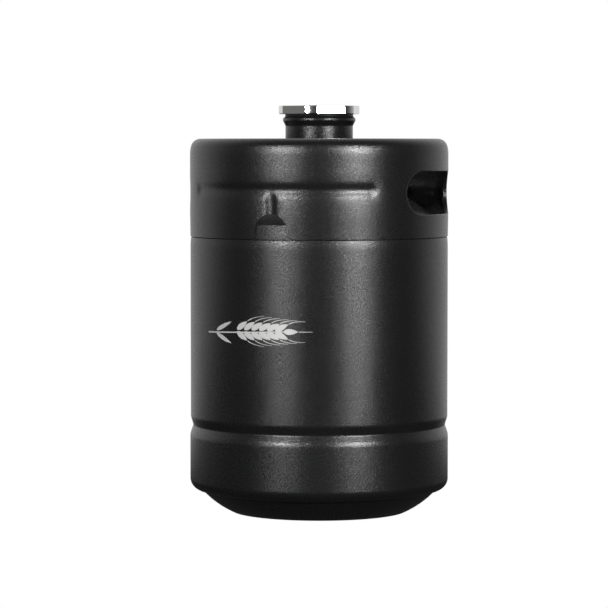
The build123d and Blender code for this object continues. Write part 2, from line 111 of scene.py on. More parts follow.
class KegWallSettings(bpy.types.PropertyGroup):
    """The outer wall, its foot and its dome."""

    wall: length("Wall", 0.8, "Thickness of the pressed steel sheet")
    band_swell: length("Band Swell", 0.35, "How far the lower band stands out")
    corner_radius: length("Corner Radius", 7.2, "Rounding under the lower band")
    groove_height: length("Groove Height", 56.7, "Foot to the bottom of the ring groove")
    groove_depth: length("Groove Depth", 1.7, "Depth of the ring groove")
    groove_half_width: length("Groove Half Width", 5.6, "Middle of the groove to its edge")
    groove_edge_radius: length("Groove Edge Radius", 8.0, "Rounding above the groove")
    groove_low_radius: length("Groove Low Radius", 12.0, "Rounding below the groove")
    groove_root_radius: length("Groove Root Radius", 2.0, "Rounding at the groove's bottom")
    seam_gap: length("Seam Gap", 0.7, "Gap between the wall and the collar")
    joggle_edge: length("Joggle Edge", 0.9, "Rounding at the top of the wall")
    top_draw: length("Top Draw", 0.35, "How far the wall leans in at its top edge")
    top_draw_height: length("Top Draw Height", 8.0, "Height over which the wall leans in")
    top_draw_radius: length("Top Draw Radius", 45.0, "Rounding where the wall begins to lean")
    foot_radius: length("Foot Radius", 57.0, "Outer edge of the foot ring")
    foot_width: length("Foot Ring Width", 2.0, "Flat width of the foot ring")
    foot_recess: length("Foot Recess", 5.0, "How far the middle of the foot is raised")
    foot_slope: length("Foot Slope", 6.0, "Width of the slope inside the foot ring")
    bowl_radius: length("Bowl Radius", 60.0, "Section radius of the bowl-shaped foot")
    dome_radius: length("Dome Radius", 114.0, "Sphere radius of the domed top")
    knuckle_radius: length("Knuckle Radius", 5.0, "Rounding at the dome's edge")
    weld_size: length("Weld Size", 1.6, "Leg of the weld between dome and neck")


class KegCollarSettings(bpy.types.PropertyGroup):
    """The collar with its rolled rim, handholds, grooves and notches."""

    wall: length("Wall", 1.0, "Thickness of the collar's sheet")
    flare: length("Flare", 0.25, "How much wider the collar is above its bottom edge")
    flare_height: length("Flare Height", 14.0, "Height over which the collar widens")
    shoulder_radius: length("Shoulder", 20.0, "Gentle arc where the wall turns into the rim")
    shoulder_angle: angle("Shoulder Angle", 15.0, "How far the gentle arc turns")
    roll_outer: length("Outer Roll", 6.5, "Section radius of the rim's outer side")
    roll_inner: length("Inner Roll", 2.6, "Section radius of the rim's inner side")
    roll_lip: length("Roll Lip", 8.0, "Depth of the turned-down lip")
    handhold_width: length("Handhold Width", 77.8, "Straight-line width of a handhold")
    handhold_height: length("Handhold Height", 27.8, "Height of a handhold")
    handhold_rise: length("Handhold Rise", 28.7, "Collar's bottom edge to the middle of a handhold")
    handhold_edge: length("Handhold Edge", 0.7, "Rounding where the handhold turns inward")
    handhold_lip: length("Handhold Lip", 2.7, "Depth of the handhold's turned-in lip")
    tee_rise: length("Groove Rise", 30.8, "Collar's bottom edge to the level groove")
    tee_half_angle: angle("Groove Half Angle", 47.4, "Middle of the level groove to its end")
    tee_depth: length("Groove Depth", 1.2, "Depth of the pressed grooves")
    tee_half_width: length("Groove Half Width", 5.0, "Half the width of the pressed grooves")
    tee_end: length("Groove End", 4.5, "How far the level groove stops short of its end")
    tee_dish: length("Dish Depth", 0.3, "Depth of the shallow dish that the press leaves")
    tee_dish_reach: length("Dish Reach", 11.0, "Middle of a groove to the dish's edge")
    tee_blend: length("Groove Blend", 0.16, "Softness of the grooves' edges")
    notch_half_width: length("Notch Half Width", 10.7, "Half the width of a drain notch")
    notch_height: length("Notch Height", 16.1, "Collar's bottom edge to the top of a notch")


class KegNeckSettings(bpy.types.PropertyGroup):
    """The neck with its clamp bead."""

    radius: length("Neck Radius", 22.0, "Outer radius of the plain neck")
    wall: length("Neck Wall", 1.8, "Thickness of the neck")
    bead_foot: length("Bead Foot", 6.3, "Neck's top down to where the bead begins")
    bead_low: length("Bead Low", 3.0, "Neck's top down to the low edge of the bead's crest")
    bead_high: length("Bead High", 1.6, "Neck's top down to the high edge of the bead's crest")
    lip_out: length("Lip", 0.4, "How far the top lip stands out from the neck")


class KegPrintSettings(bpy.types.PropertyGroup):
    """The barley ear printed on the front of the wall."""

    middle_angle: angle("Middle Angle", -98.6, "Where the print's middle is, round from +X")
    height: length("Height", 122.2, "Foot to the middle of the print")
    width: length("Width", 80.0, "Length of the barley ear along the wall")
    grain_length: length("Grain Length", 9.2, "Length of one grain")
    grain_width: length("Grain Width", 3.6, "Width of one grain")
    grain_pairs: IntProperty(name="Grain Pairs", default=6, min=2, max=20,
                             description="How many pairs of grains the ear has")
    thickness: length("Thickness", 0.05, "Thickness of the ink")


class KegFinishSettings(bpy.types.PropertyGroup):
    """Colours of the finishes."""

    coat: colour("Powder Coat", (0.0052, 0.0053, 0.0056, 1.0), "Colour of the powder coat")
    lid: colour("Lid Steel", (0.85, 0.845, 0.83, 1.0), "Colour of the polished lid")
    steel: colour("Bare Steel", (0.56, 0.555, 0.545, 1.0), "Colour of the bare steel")
    rubber: colour("Rubber", (0.010, 0.010, 0.010, 1.0), "Colour of the seals")
    ink: colour("Print", (0.42, 0.42, 0.415, 1.0), "Colour of the print")
    brass: colour("Valve Brass", (0.72, 0.55, 0.28, 1.0), "Colour of the valve's brass")
    copper: colour("Copper", (0.72, 0.36, 0.22, 1.0), "Colour of the sealing plug")
    getter: colour("Getter", (0.22, 0.22, 0.23, 1.0), "Colour of the getter pellet")


class KegStageSettings(bpy.types.PropertyGroup):
    """The camera and the studio."""

    azimuth: angle("Camera Azimuth", 21.2, "Camera direction round the keg, from the front")
    distance: length("Camera Distance", 1900.0, "Camera to the keg's axis")
    eye_height: length("Eye Height", 239.0, "Camera height above the floor")
    aim_height: length("Aim Height", 135.3, "Height on the axis that the camera looks at")
    aim_left: length("Aim Left", 9.9, "How far left of the axis the camera looks")
    low_share: FloatProperty(name="Low Share", default=0.19, min=0.0,
                             description="Power of the low softboxes over the high ones")
    left_power: FloatProperty(name="Left Softbox", default=60.0, min=0.0, unit="POWER",
                              description="Power of the softbox on the left")
    right_power: FloatProperty(name="Right Softbox", default=88.0, min=0.0, unit="POWER",
                               description="Power of the softbox on the right")
    lens_mm: FloatProperty(name="Lens", default=172.2, min=1.0,
                           description="Focal length in millimetres on a 36 mm sensor")


# ---- Section lines ---------------------------------------

def rounded_line(corners, radii, steps=8):
    """A line through the corners, each inner corner rounded to its radius."""
    points = [Vector(corners[0])]
    for before, here, after, radius in zip(corners, corners[1:], corners[2:], radii):
        back = (Vector(before) - Vector(here)).normalized()
        ahead = (Vector(after) - Vector(here)).normalized()
        half = back.angle(ahead) / 2
        if radius <= 0:
            points.append(Vector(here))
            continue
        reach = radius / math.tan(half)
        centre = Vector(here) + (back + ahead).normalized() * (radius / math.sin(half))
        first = Vector(here) + back * reach - centre
        last = Vector(here) + ahead * reach - centre
        sweep = first.angle_signed(last)
        start = math.atan2(first.y, first.x)
        for step in range(steps + 1):
            turn = start - sweep * step / steps
            points.append(centre + radius * Vector((math.cos(turn), math.sin(turn))))
    points.append(Vector(corners[-1]))
    return points


def arc(centre, radius, start, end, steps):
    """Points along an arc of the section; angles are from outward, counter-clockwise."""
    return [Vector((centre[0] + radius * math.cos(start + (end - start) * step / steps),
                    centre[1] + radius * math.sin(start + (end - start) * step / steps)))
            for step in range(steps + 1)]


# ---- Modelling by hand, in edit mode ---------------------

def start_point(name, place):
    """A new piece that is one vertex, in edit mode."""
    bpy.ops.object.select_all(action="DESELECT")
    bpy.ops.mesh.primitive_plane_add(size=MM, location=(0, 0, 0))
    piece = bpy.context.active_object
    piece.name = name
    piece.data.name = name
    bpy.ops.object.mode_set(mode="EDIT")
    bpy.ops.mesh.select_mode(type="VERT")
    bpy.ops.mesh.select_all(action="SELECT")
    bpy.ops.mesh.merge(type="CENTER")
    bpy.ops.transform.translate(value=place)
    return piece


def turned_piece(name, section, steps=192, closed=False):
    """Draw a section vertex by vertex and spin it round the keg's axis."""
    piece = start_point(name, (section[0][0], 0, section[0][1]))
    for last, here in zip(section, section[1:]):
        move = (here[0] - last[0], 0, here[1] - last[1])
        bpy.ops.mesh.extrude_vertices_move(TRANSFORM_OT_translate={"value": move})
    bpy.ops.mesh.select_all(action="SELECT")
    if closed:
        bpy.ops.mesh.remove_doubles(threshold=CLOSE)
    bpy.ops.mesh.spin(steps=steps, angle=2 * math.pi, center=(0, 0, 0), axis=(0, 0, 1))
    bpy.ops.mesh.select_all(action="SELECT")
    bpy.ops.mesh.remove_doubles(threshold=CLOSE)
    bpy.ops.mesh.normals_make_consistent(inside=False)
    bpy.ops.object.mode_set(mode="OBJECT")
    return piece


def pick(piece):
    """Make this the one piece that operators act on."""
    bpy.ops.object.select_all(action="DESELECT")
    piece.select_set(True)
    bpy.context.view_layer.objects.active = piece


def pick_all_faces(piece):
    """Go into edit mode on this piece with all of it selected."""
    pick(piece)
    bpy.ops.object.mode_set(mode="EDIT")
    bpy.ops.mesh.select_all(action="SELECT")


def add_piece(name, mesh):
    """A new piece of this mesh, at the keg's origin."""
    piece = bpy.data.objects.new(name, mesh)
    bpy.context.scene.collection.objects.link(piece)
    return piece


def face_outward(piece, sample=None):
    """Turn the faces round if most of them look at the middle of the keg."""
    middle = sample or Vector((0, 0, (SHELL_LOW.z + SHELL_HIGH.z) / 2))
    facing = sum(face.normal.dot(face.center - middle) * face.area
                 for face in piece.data.polygons)
    if facing < 0:
        pick_all_faces(piece)
        bpy.ops.mesh.flip_normals()
        bpy.ops.object.mode_set(mode="OBJECT")


def apply_modifier(piece, kind, **values):
    """Add a modifier with these values and apply it."""
    modifier = piece.modifiers.new(kind.title(), kind)
    for name, value in values.items():
        setattr(modifier, name, value)
    pick(piece)
    bpy.ops.object.modifier_apply(modifier=modifier.name)


def thicken(piece, wall, rim=0.15 * MM):
    """Give a sheet its thickness, inward, and round its cut edges a little."""
    apply_modifier(piece, "SOLIDIFY", thickness=wall, offset=-1.0, use_even_offset=True)
    apply_modifier(piece, "BEVEL", width=rim, segments=2, limit_method="ANGLE",
                   angle_limit=math.radians(60))


def finish_piece(piece, body, material, replaced=(), smooth=40):
    """Smooth shading, material, the body it rides on and what it stands for."""
    pick(piece)
    bpy.ops.object.shade_smooth_by_angle(angle=math.radians(smooth))
    apply_modifier(piece, "WEIGHTED_NORMAL", keep_sharp=True)
    piece.data.materials.clear()
    piece.data.materials.append(material)
    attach(piece, body)
    if replaced:
        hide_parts(*replaced)
    return piece


# ---- Node groups and materials ---------------------------

def new_group(name, inputs, outputs):
    """An empty shader node group with these named sockets."""
    group = bpy.data.node_groups.new(name, "ShaderNodeTree")
    for label, kind, default in inputs:
        socket = group.interface.new_socket(name=label, in_out="INPUT", socket_type=kind)
        if default is not None:
            socket.default_value = default
    for label, kind in outputs:
        group.interface.new_socket(name=label, in_out="OUTPUT", socket_type=kind)
    group.nodes.new("NodeGroupInput")
    group.nodes.new("NodeGroupOutput")
    return group


def wire(tree, *links):
    """Join sockets, each link given as (from node, output, to node, input)."""
    for source, output, target, name in links:
        tree.links.new(source.outputs[output], target.inputs[name])


def node(tree, kind, **values):
    """A node of this kind; values set its properties or, by input name, its sockets."""
    made = tree.nodes.new(kind)
    for name, value in values.items():
        if hasattr(made, name):
            setattr(made, name, value)
        else:
            made.inputs[name.replace("_", " ")].default_value = value
    return made


def maths(tree, operation, slot=1, value=0.0):
    """A maths node with this value on one of its inputs."""
    made = node(tree, "ShaderNodeMath", operation=operation)
    made.inputs[slot].default_value = value
    return made


def remap(tree, low, high, new_low=0.0, new_high=1.0, kind="LINEAR"):
    """A node that takes values from one span to another."""
    made = node(tree, "ShaderNodeMapRange", interpolation_type=kind)
    made.inputs["From Min"].default_value = low
    made.inputs["From Max"].default_value = high
    made.inputs["To Min"].default_value = new_low
    made.inputs["To Max"].default_value = new_high
    return made


def grain_group():
    """Powder grain: fine round bumps, flecks of gloss and slow drifts of the finish."""
    found = bpy.data.node_groups.get("Powder Grain")
    if found:
        return found
    group = new_group(
        "Powder Grain",
        [("Vector", "NodeSocketVector", None), ("Grain Size", "NodeSocketFloat", 0.0006),
         ("Bump", "NodeSocketFloat", 0.3), ("Base", "NodeSocketColor", (0, 0, 0, 1)),
         ("Fleck", "NodeSocketColor", (0, 0, 0, 1)), ("Roughness", "NodeSocketFloat", 0.5)],
        [("Color", "NodeSocketColor"), ("Roughness", "NodeSocketFloat"),
         ("Normal", "NodeSocketVector")])
    inp, out = group.nodes["Group Input"], group.nodes["Group Output"]
    scale = maths(group, "DIVIDE", 0, 1.0)
    fine = node(group, "ShaderNodeTexNoise", Detail=3.0, Roughness=0.6)
    flecks = node(group, "ShaderNodeTexVoronoi", feature="F1")
    drift = node(group, "ShaderNodeTexNoise", Scale=18.0, Detail=3.0)
    fleck_mask = remap(group, 0.16, 0.05, kind="SMOOTHSTEP")
    noise_gate = remap(group, 0.50, 0.62, kind="SMOOTHSTEP")
    sparkle = maths(group, "MULTIPLY")
    tint = node(group, "ShaderNodeMix", data_type="RGBA")
    drift_span = remap(group, 0.3, 0.7, -0.02, 0.02)
    speckle = remap(group, 0.3, 0.7, -0.06, 0.06)
    drifted = maths(group, "ADD")
    rough_sum = maths(group, "ADD")
    rough = maths(group, "MULTIPLY_ADD", 1, -0.05)
    height = maths(group, "MULTIPLY", 1, 0.22)
    bump = node(group, "ShaderNodeBump")
    wire(group,
         (inp, "Grain Size", height, 0), (height, 0, bump, "Distance"),
         (inp, "Grain Size", scale, 1),
         (inp, "Vector", fine, "Vector"), (scale, 0, fine, "Scale"),
         (inp, "Vector", flecks, "Vector"), (scale, 0, flecks, "Scale"),
         (inp, "Vector", drift, "Vector"),
         (flecks, "Distance", fleck_mask, "Value"),
         (fine, "Fac", noise_gate, "Value"),
         (fleck_mask, "Result", sparkle, 0), (noise_gate, "Result", sparkle, 1),
         (sparkle, 0, tint, "Factor"),
         (drift, "Fac", drift_span, "Value"),
         (fine, "Fac", speckle, "Value"),
         (inp, "Roughness", drifted, 0), (drift_span, "Result", drifted, 1),
         (drifted, 0, rough_sum, 0), (speckle, "Result", rough_sum, 1),
         (sparkle, 0, rough, 0), (rough_sum, 0, rough, 2),
         (inp, "Bump", bump, "Strength"), (fine, "Fac", bump, "Height"),
         (inp, "Base", tint, 6), (inp, "Fleck", tint, 7), (tint, 2, out, "Color"),
         (rough, 0, out, "Roughness"), (bump, "Normal", out, "Normal"))
    return group


def tool_marks_group():
    """Tool marks: fine turned rings or drawn lines, with a slow change of gloss."""
    found = bpy.data.node_groups.get("Tool Marks")
    if found:
        return found
    group = new_group(
        "Tool Marks",
        [("Vector", "NodeSocketVector", None), ("Base", "NodeSocketColor", (1, 1, 1, 1)),
         ("Roughness", "NodeSocketFloat", 0.2), ("Bump", "NodeSocketFloat", 0.1),
         ("Line Stretch", "NodeSocketVector", (1.0, 1.0, 1.0)),
         ("Tarnish", "NodeSocketFloat", 0.1)],
        [("Color", "NodeSocketColor"), ("Roughness", "NodeSocketFloat"),
         ("Normal", "NodeSocketVector")])
    inp, out = group.nodes["Group Input"], group.nodes["Group Output"]
    stretch = node(group, "ShaderNodeVectorMath", operation="MULTIPLY")
    lines = node(group, "ShaderNodeTexNoise", Scale=1.0, Detail=4.0, Roughness=0.7)
    cloud = node(group, "ShaderNodeTexNoise", Scale=60.0, Detail=4.0)
    cloud_span = remap(group, 0.35, 0.7)
    shade = node(group, "ShaderNodeMix", data_type="RGBA", blend_type="MULTIPLY")
    shade.inputs[7].default_value = (0.62, 0.60, 0.57, 1.0)
    rough = maths(group, "MULTIPLY_ADD", 1, 0.10)
    half = maths(group, "SUBTRACT", 1, 0.5)
    bump = node(group, "ShaderNodeBump", Distance=0.00005)
    wire(group,
         (inp, "Vector", stretch, 0), (inp, "Line Stretch", stretch, 1),
         (stretch, 0, lines, "Vector"), (inp, "Vector", cloud, "Vector"),
         (cloud, "Fac", cloud_span, "Value"), (inp, "Tarnish", cloud_span, "To Max"),
         (lines, "Fac", half, 0), (half, 0, rough, 0), (inp, "Roughness", rough, 2),
         (inp, "Bump", bump, "Strength"), (lines, "Fac", bump, "Height"),
         (cloud_span, "Result", shade, 0), (inp, "Base", shade, 6), (shade, 2, out, "Color"),
         (rough, 0, out, "Roughness"), (bump, "Normal", out, "Normal"))
    return group


def blank_material(name):
    """A new material, with its node tree, its shader and its place on the piece."""
    material = bpy.data.materials.new(name)
    material.use_nodes = True
    tree = material.node_tree
    return material, tree, tree.nodes["Principled BSDF"], tree.nodes.new("ShaderNodeTexCoord")


def coated(name, base, fleck, size, bump, roughness, **shader):
    """A grained, non-metal finish: powder coat, rubber or ink."""
    found = bpy.data.materials.get(name)
    if found:
        return found
    material, tree, principled, place = blank_material(name)
    grain = node(tree, "ShaderNodeGroup", node_tree=grain_group(), Grain_Size=size, Bump=bump,
                 Base=base, Fleck=fleck, Roughness=roughness)
    wire(tree, (place, "Object", grain, "Vector"), (grain, "Color", principled, "Base Color"),
         (grain, "Roughness", principled, "Roughness"),
         (grain, "Normal", principled, "Normal"))
    for label, value in shader.items():
        principled.inputs[label.replace("_", " ")].default_value = value
    return material


def metal(name, base, roughness, bump=0.1, stretch=(300, 300, 9000), tarnish=0.1, rings=False):
    """A bare metal with tool marks; rings are turned marks round the keg's axis."""
    found = bpy.data.materials.get(name)
    if found:
        return found
    material, tree, principled, place = blank_material(name)
    principled.inputs["Metallic"].default_value = 1.0
    marks = node(tree, "ShaderNodeGroup", node_tree=tool_marks_group(), Base=base,
                 Roughness=roughness, Bump=bump, Line_Stretch=stretch, Tarnish=tarnish)
    if rings:
        parts = tree.nodes.new("ShaderNodeSeparateXYZ")
        flat = node(tree, "ShaderNodeCombineXYZ")
        radius = node(tree, "ShaderNodeVectorMath", operation="LENGTH")
        polar = node(tree, "ShaderNodeCombineXYZ")
        wire(tree, (place, "Object", parts, 0), (parts, "X", flat, "X"),
             (parts, "Y", flat, "Y"), (flat, 0, radius, 0),
             (radius, "Value", polar, "X"), (parts, "Z", polar, "Z"),
             (polar, 0, marks, "Vector"))
    else:
        wire(tree, (place, "Object", marks, "Vector"))
    wire(tree, (marks, "Color", principled, "Base Color"),
         (marks, "Roughness", principled, "Roughness"),
         (marks, "Normal", principled, "Normal"))
    return material


def powder_coat():
    """Matte black powder coat."""
    base = bpy.context.scene.keg_finish.coat
    return coated("Black Powder Coat", base, (0.06, 0.06, 0.062, 1.0), 0.0006, 0.8, 0.27,
                  Specular_IOR_Level=0.5)


def coat_piece(piece, replaced):
    """Powder coat a piece of the keg's body that stands for this node."""
    finish_piece(piece, "keg", powder_coat(), [replaced])


def seal_rubber():
    """Smooth black silicone."""
    base = bpy.context.scene.keg_finish.rubber
    return coated("Seal Rubber", base, (0.03, 0.03, 0.03, 1.0), 0.0004, 0.15, 0.5,
                  Specular_IOR_Level=0.45)


def print_ink():
    """Satin silver ink that takes a little of the coat's grain."""
    base = bpy.context.scene.keg_finish.ink
    return coated("Silver Print", base, (0.8, 0.8, 0.8, 1.0), 0.00055, 0.5, 0.42)


def lid_steel():
    """Polished steel with fine turned marks."""
    return metal("Polished Lid Steel", bpy.context.scene.keg_finish.lid, 0.12, bump=0.12,
                 stretch=(9000, 9000, 2500), tarnish=0.06, rings=True)


def bare_steel():
    """Satin sheet steel, drawn round the axis."""
    return metal("Bare Steel", bpy.context.scene.keg_finish.steel, 0.3, bump=0.12,
                 stretch=(3000, 3000, 6000), tarnish=0.2, rings=True)


# ---- Pieces ----------------------------------------------

class KEG_OT_wall(bpy.types.Operator):
    """Build the outer wall with its ring groove and joggled rim"""

    bl_idname = "keg.wall"
    bl_label = "Outer Wall"

    def execute(self, context):
        s = context.scene.keg_wall
        band = SHELL_HIGH.x
        plain = band - s.band_swell
        rim = COLLAR_HIGH.x - context.scene.keg_collar.flare - context.scene.keg_collar.wall
        bottom = SHELL_LOW.z
        shell_top = COLLAR_LOW.z - s.seam_gap
        lip = CAP_HIGH.x
        section = rounded_line(
            [(lip, bottom), (band, bottom), (band, s.groove_height - s.groove_half_width),
             (plain - s.groove_depth, s.groove_height),
             (plain, s.groove_height + s.groove_half_width),
             (plain, shell_top - s.top_draw_height / 2),
             (plain - s.top_draw, shell_top), (rim, COLLAR_LOW.z), (rim, SHELL_HIGH.z)],
            [s.corner_radius, s.groove_low_radius, s.groove_root_radius,
             s.groove_edge_radius, s.top_draw_radius, s.joggle_edge, 0.3 * MM])
        piece = turned_piece("outer_wall", section, steps=256)
        face_outward(piece)
        thicken(piece, s.wall)
        coat_piece(piece, "outer_shell")
        return DONE


class KEG_OT_base_cap(bpy.types.Operator):
    """Build the bowl-shaped foot with its ring and recessed middle"""

    bl_idname = "keg.base_cap"
    bl_label = "Foot Cap"

    def execute(self, context):
        s = context.scene.keg_wall
        lip = CAP_HIGH.x
        bottom = SHELL_LOW.z
        ring_inner = s.foot_radius - s.foot_width
        floor_line = rounded_line(
            [(0.0, s.foot_recess), (ring_inner - s.foot_slope, s.foot_recess),
             (ring_inner, 0.0), (s.foot_radius, 0.0)],
            [2 * MM, 2 * MM])
        chord = Vector((lip - s.foot_radius, bottom))
        middle = Vector((s.foot_radius, 0.0)) + chord / 2
        across = math.sqrt(s.bowl_radius ** 2 - (chord.length / 2) ** 2)
        centre = middle + Vector((-chord.y, chord.x)).normalized() * across
        start = math.atan2(-centre.y, s.foot_radius - centre.x)
        end = math.atan2(bottom - centre.y, lip - centre.x)
        bowl = arc(centre, s.bowl_radius, start, end, 24)
        section = floor_line + bowl[1:] + [Vector((lip, CAP_HIGH.z))]
        piece = turned_piece("foot_cap", section)
        face_outward(piece, Vector((0, 0, CAP_HIGH.z * 2)))
        thicken(piece, s.wall)
        coat_piece(piece, "base_cap")
        return DONE


class KEG_OT_dome(bpy.types.Operator):
    """Build the domed top with its knuckle, skirt and the weld round the neck"""

    bl_idname = "keg.dome"
    bl_label = "Dome"

    def execute(self, context):
        s = context.scene.keg_wall
        neck = context.scene.keg_neck
        skirt = DOME_HIGH.x
        radius = s.dome_radius
        knuckle_at = skirt - s.knuckle_radius
        inner = radius - s.knuckle_radius
        sphere_centre = DOME_HIGH.z - math.sqrt(radius ** 2 - neck.radius ** 2)
        knuckle_height = sphere_centre + math.sqrt(inner ** 2 - knuckle_at ** 2)
        lean = math.acos(knuckle_at / inner)
        hole = neck.radius + 0.05 * MM
        weld_edge = neck.radius + s.weld_size
        top_lean = math.acos(weld_edge / radius)
        knuckle = arc((knuckle_at, knuckle_height), s.knuckle_radius, 0.0, lean, 10)
        crown = arc((0.0, sphere_centre), radius, lean, top_lean, 40)
        weld_top = crown[-1].y + s.weld_size
        weld = arc((weld_edge, weld_top), s.weld_size, -QUARTER, -math.pi, 6)
        section = ([Vector((skirt, DOME_LOW.z))] + knuckle + crown[1:] + weld[1:]
                   + [Vector((hole, weld_top))])
        piece = turned_piece("dome_top", section)
        face_outward(piece)
        thicken(piece, s.wall)
        coat_piece(piece, "outer_dome")
        return DONE


class KEG_OT_neck(bpy.types.Operator):
    """Build the neck with its clamp bead"""

    bl_idname = "keg.neck"
    bl_label = "Neck"

    def execute(self, context):
        s = context.scene.keg_neck
        top = NECK_HIGH.z
        bead = NECK_HIGH.x
        bore = s.radius - s.wall
        middle = (NECK_LOW.z + top) / 2
        section = rounded_line(
            [(bore, middle), (bore, NECK_LOW.z), (s.radius, NECK_LOW.z),
             (s.radius, top - s.bead_foot), (bead, top - s.bead_low),
             (bead, top - s.bead_high), (s.radius + s.lip_out, top - 0.4 * MM),
             (s.radius + s.lip_out / 2, top), (bore, top), (bore, middle)],
            [0.2 * MM, 0.2 * MM, 2.0 * MM, 0.8 * MM, 0.5 * MM, 0.2 * MM, 0.1 * MM, 0.1 * MM],
            steps=6)
        piece = turned_piece("neck", section, closed=True)
        coat_piece(piece, "neck_sleeve")
        return DONE


# ---- Collar ----------------------------------------------

class CollarSheet:
    """The collar rolled out flat: along is the way round, up is the way up its section."""

    def __init__(self, settings):
        self.s = settings
        self.radius = COLLAR_HIGH.x
        self.quarter = self.radius * QUARTER
        lean = settings.shoulder_angle
        self.roll_radius = (self.radius - settings.shoulder_radius * (1 - math.cos(lean))
                            - settings.roll_outer * math.cos(lean))
        self.shoulder_height = (
            COLLAR_HIGH.z - settings.roll_outer * (1 - math.sin(lean))
            - settings.shoulder_radius * math.sin(lean))
        self.straight = self.shoulder_height - COLLAR_LOW.z
        self.shoulder = settings.shoulder_radius * lean
        self.outer_roll = settings.roll_outer * (QUARTER - lean)
        self.inner_roll = settings.roll_inner * QUARTER
        self.mesh = bmesh.new()
        self.points = {}

    def section(self, up):
        """Radius, height and outward direction of the section at a distance up it."""
        s = self.s
        roll_radius = self.roll_radius
        roll_height = COLLAR_HIGH.z - s.roll_outer
        if up <= self.straight:
            flare = s.flare * (1 - min(up / s.flare_height, 1.0))
            return self.radius - flare, COLLAR_LOW.z + up, 0.0
        up -= self.straight
        if up <= self.shoulder:
            lean = up / s.shoulder_radius
            return (self.radius - s.shoulder_radius * (1 - math.cos(lean)),
                    self.shoulder_height + s.shoulder_radius * math.sin(lean), lean)
        up -= self.shoulder
        if up <= self.outer_roll:
            lean = s.shoulder_angle + up / s.roll_outer
            return (roll_radius + s.roll_outer * math.cos(lean),
                    roll_height + s.roll_outer * math.sin(lean), lean)
        up -= self.outer_roll
        inner_height = COLLAR_HIGH.z - s.roll_inner
        if up <= self.inner_roll:
            lean = QUARTER + up / s.roll_inner
            return (roll_radius + s.roll_inner * math.cos(lean),
                    inner_height + s.roll_inner * math.sin(lean), lean)
        up -= self.inner_roll
        return roll_radius - s.roll_inner, inner_height - up, math.pi

    def groove(self, along, up):
        """Depth of the pressed grooves: a soft channel in the middle of a wide, shallow dish."""
        s = self.s
        level_end = self.radius * s.tee_half_angle - s.tee_end
        level = math.hypot(max(along - level_end, 0.0), up - s.tee_rise)
        foot = s.notch_height - s.notch_half_width
        below = max(up - s.tee_rise, foot - up, 0.0)
        upright = math.hypot(along, below)
        depth = 0.0
        for distance in (level, upright):
            channel = 0.5 + 0.5 * math.cos(math.pi * min(distance / s.tee_half_width, 1.0))
            dish = 0.5 + 0.5 * math.cos(math.pi * min(distance / s.tee_dish_reach, 1.0))
            reach = (s.tee_depth - s.tee_dish) * channel + s.tee_dish * dish
            soft = s.tee_blend
            blend = max(soft - abs(reach - depth), 0.0) / soft
            depth = max(reach, depth) + blend * blend * soft / 4 * min(reach / soft, 1.0)
        return depth

    def place(self, along, up, depth=0.0):
        """The point of the finished collar that a point of the flat sheet goes to."""
        radius, height, lean = self.section(up)
        if up <= self.straight:
            depth += self.groove(along, up)
        radius -= depth * math.cos(lean)
        height -= depth * math.sin(lean)
        turn = along / self.radius - QUARTER
        return Vector((radius * math.cos(turn), radius * math.sin(turn), height))

    def vertex(self, along, up, depth=0.0):
        """The vertex at a point of the flat sheet, made once."""
        key = (round(along, 8), round(up, 8), round(depth, 8))
        if key not in self.points:
            self.points[key] = self.mesh.verts.new(self.place(along, up, depth))
        return self.points[key]

    def patch(self, rows):
        """Faces between neighbouring rows of points."""
        for low, high in zip(rows, rows[1:]):
            for a, b, c, d in zip(low, low[1:], high[1:], high):
                corners = [self.vertex(*p) for p in (a, b, c, d)]
                if len(set(corners)) == 4:
                    self.mesh.faces.new(corners)


def spread(start, end, step):
    """Evenly spaced values from start to end, about a step apart."""
    count = max(1, round(abs(end - start) / step))
    return [start + (end - start) * i / count for i in range(count + 1)]


def along_path(path, count):
    """Points spaced evenly along a chain of points, by distance."""
    lengths = [0.0]
    for a, b in zip(path, path[1:]):
        lengths.append(lengths[-1] + math.dist(a, b))
    result, span = [], 0
    for i in range(count):
        want = lengths[-1] * i / (count - 1)
        while span < len(path) - 2 and lengths[span + 1] < want:
            span += 1
        share = (want - lengths[span]) / max(lengths[span + 1] - lengths[span], 1e-12)
        a, b = path[span], path[span + 1]
        result.append((a[0] + (b[0] - a[0]) * share, a[1] + (b[1] - a[1]) * share))
    return result


def handhold_path(sheet, grow):
    """Half a handhold's outline on the flat sheet, from its bottom round to its top."""
    s = sheet.s
    end_radius = s.handhold_height / 2 + grow
    half_flat = (s.handhold_width - s.handhold_height) / 2
    chord = [(-half_flat * i / 24, -end_radius) for i in range(24)]
    chord += [(-half_flat + end_radius * math.cos(-QUARTER - math.pi * i / 48),
               end_radius * math.sin(-QUARTER - math.pi * i / 48)) for i in range(49)]
    chord += [(-half_flat * (23 - i) / 24, end_radius) for i in range(24)]
    return [(sheet.quarter + sheet.radius * math.asin(x / sheet.radius), s.handhold_rise + z)
            for x, z in chord]


def notch_path(sheet):
    """Half a drain notch's outline on the flat sheet, from its foot up to its middle."""
    s = sheet.s
    spring_line = s.notch_height - s.notch_half_width
    chord = [(s.notch_half_width, spring_line * i / 8) for i in range(8)]
    chord += [(s.notch_half_width * math.cos(QUARTER * i / 32),
               spring_line + s.notch_half_width * math.sin(QUARTER * i / 32))
              for i in range(33)]
    return [(sheet.radius * math.asin(x / sheet.radius), z) for x, z in chord]


def ring_rows(inner, outer, count):
    """Rows of points that lead from one chain of points to another."""
    return [[(a[0] + (b[0] - a[0]) * i / count, a[1] + (b[1] - a[1]) * i / count)
             for a, b in zip(inner, outer)] for i in range(count + 1)]


